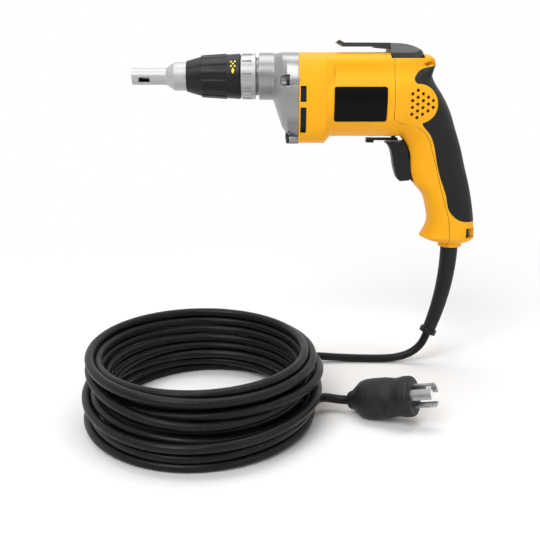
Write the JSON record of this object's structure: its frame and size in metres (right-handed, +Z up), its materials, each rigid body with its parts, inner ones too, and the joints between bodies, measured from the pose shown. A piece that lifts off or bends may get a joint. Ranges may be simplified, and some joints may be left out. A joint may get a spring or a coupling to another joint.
{
  "type": "corded drywall screwdriver",
  "caption": "Pistol-grip corded drywall screwdriver with depth-setting nosepiece, metal gear case, belt hook, rubber grip, strain relief, coiled cord and twist-lock plug.",
  "frame": {"origin": "middle of the hand grip, where the hand closes round it", "axes": "-X from the grip towards the nose and along the spindle, +Z up, Y across; the spindle axis is 96 mm above the origin"},
  "size_m": [0.3287, 0.2487, 0.29],
  "materials": {
    "housing_yellow": "satin yellow-orange moulded nylon",
    "grip_rubber": "matte black overmoulded rubber",
    "black_plastic": "fine grained black plastic",
    "plate_black": "bare black plate",
    "hook_charcoal": "charcoal coated steel",
    "cast_aluminium": "satin die casting",
    "satin_steel": "satin machined steel",
    "ring_grey": "grey satin ring",
    "screw_black": "black oxide screws",
    "bronze": "sintered bronze",
    "copper": "enamelled copper",
    "lamination": "stacked steel sheet",
    "carbon": "carbon",
    "cord_rubber": "black rubber cord jacket",
    "plug_rubber": "black moulded plug",
    "blade_steel": "bright plated blades"
  },
  "bodies": {
    "housing": {"bearing_plate": "black_plastic", "belt_hook": "hook_charcoal", "belt_hook_screw": "screw_black", "brush_holders": "bronze", "brush_springs": "satin_steel", "carbon_brushes": "carbon", "clutch_spring": "satin_steel", "cord_clamp": "black_plastic", "cord_clamp_screws": "satin_steel", "cord_coil": "cord_rubber", "cord_lead": "cord_rubber", "cord_tail": "cord_rubber", "detent_ball": "satin_steel", "detent_ring": "ring_grey", "detent_spring": "satin_steel", "fan_baffle": "black_plastic", "field_coils": "copper", "field_core": "lamination", "front_bearing": "satin_steel", "gear_case": "cast_aluminium", "gear_case_screws": "screw_black", "handle_cover": "housing_yellow", "handle_cover_screws": "screw_black", "handle_grip": "grip_rubber", "motor_housing": "housing_yellow", "name_plates": "plate_black", "nose_retaining_ring": "satin_steel", "plug_blades": "blade_steel", "plug_body": "plug_rubber", "plug_face": "plug_rubber", "rear_bearing": "satin_steel", "spindle_bushing": "bronze", "strain_relief": "grip_rubber", "switch_body": "black_plastic", "thrust_washer": "satin_steel", "trigger_spring": "satin_steel"},
    "nosepiece": {"nose_sleeve": "satin_steel"},
    "collar": {"depth_collar": "black_plastic"},
    "locator": {"nose_locator": "satin_steel"},
    "clutch_slider": {"spring_seat": "satin_steel"},
    "spindle_set": {"spindle": "satin_steel", "driven_clutch": "satin_steel", "bit_holder": "satin_steel", "bit_magnet": "satin_steel", "bit_tip": "satin_steel"},
    "gear": {"output_gear": "satin_steel"},
    "armature": {"armature_shaft": "satin_steel", "armature_core": "lamination", "armature_windings": "copper", "commutator": "copper", "cooling_fan": "black_plastic"},
    "trigger_body": {"trigger": "black_plastic"},
    "lever": {"reversing_lever": "black_plastic"}
  },
  "joints": [
    {"name": "nose_pull_off", "type": "slide", "parent": "housing", "child": "nosepiece", "axis": [-1, 0, 0], "range_m": [0, 0.095]},
    {"name": "collar_turn", "type": "hinge", "parent": "nosepiece", "child": "collar", "pos_m": [-0.126, 0, 0.096], "axis": [1, 0, 0], "range_deg": [-540, 540]},
    {"name": "locator_feed", "type": "slide", "parent": "nosepiece", "child": "locator", "axis": [-1, 0, 0], "range_m": [-0.003, 0.003]},
    {"name": "clutch_press", "type": "slide", "parent": "housing", "child": "clutch_slider", "axis": [1, 0, 0], "range_m": [0, 0.003], "stiffness_N_per_m": 1500, "springref_m": -0.003, "deforming": ["clutch_spring"]},
    {"name": "spindle_spin", "type": "hinge", "parent": "clutch_slider", "child": "spindle_set", "pos_m": [-0.126, 0, 0.096], "axis": [1, 0, 0], "continuous": true},
    {"name": "armature_spin", "type": "hinge", "parent": "housing", "child": "armature", "pos_m": [-0.126, 0, 0.081], "axis": [1, 0, 0], "continuous": true},
    {"name": "gear_spin", "type": "hinge", "parent": "housing", "child": "gear", "pos_m": [-0.126, 0, 0.096], "axis": [1, 0, 0], "continuous": true},
    {"name": "trigger_pull", "type": "slide", "parent": "housing", "child": "trigger_body", "axis": [1, 0, 0], "range_m": [0, 0.006], "stiffness_N_per_m": 800, "springref_m": -0.004, "deforming": ["trigger_spring"]},
    {"name": "reversing", "type": "hinge", "parent": "housing", "child": "lever", "pos_m": [-0.043, 0, 0.045], "axis": [0, 0, 1], "range_deg": [-12, 12]}
  ],
  "couplings": [
    {"joint": "collar_turn", "follows": "locator_feed", "rad_per_m": 3141.6},
    {"joint": "gear_spin", "follows": "armature_spin", "ratio": -0.21212}
  ]
}
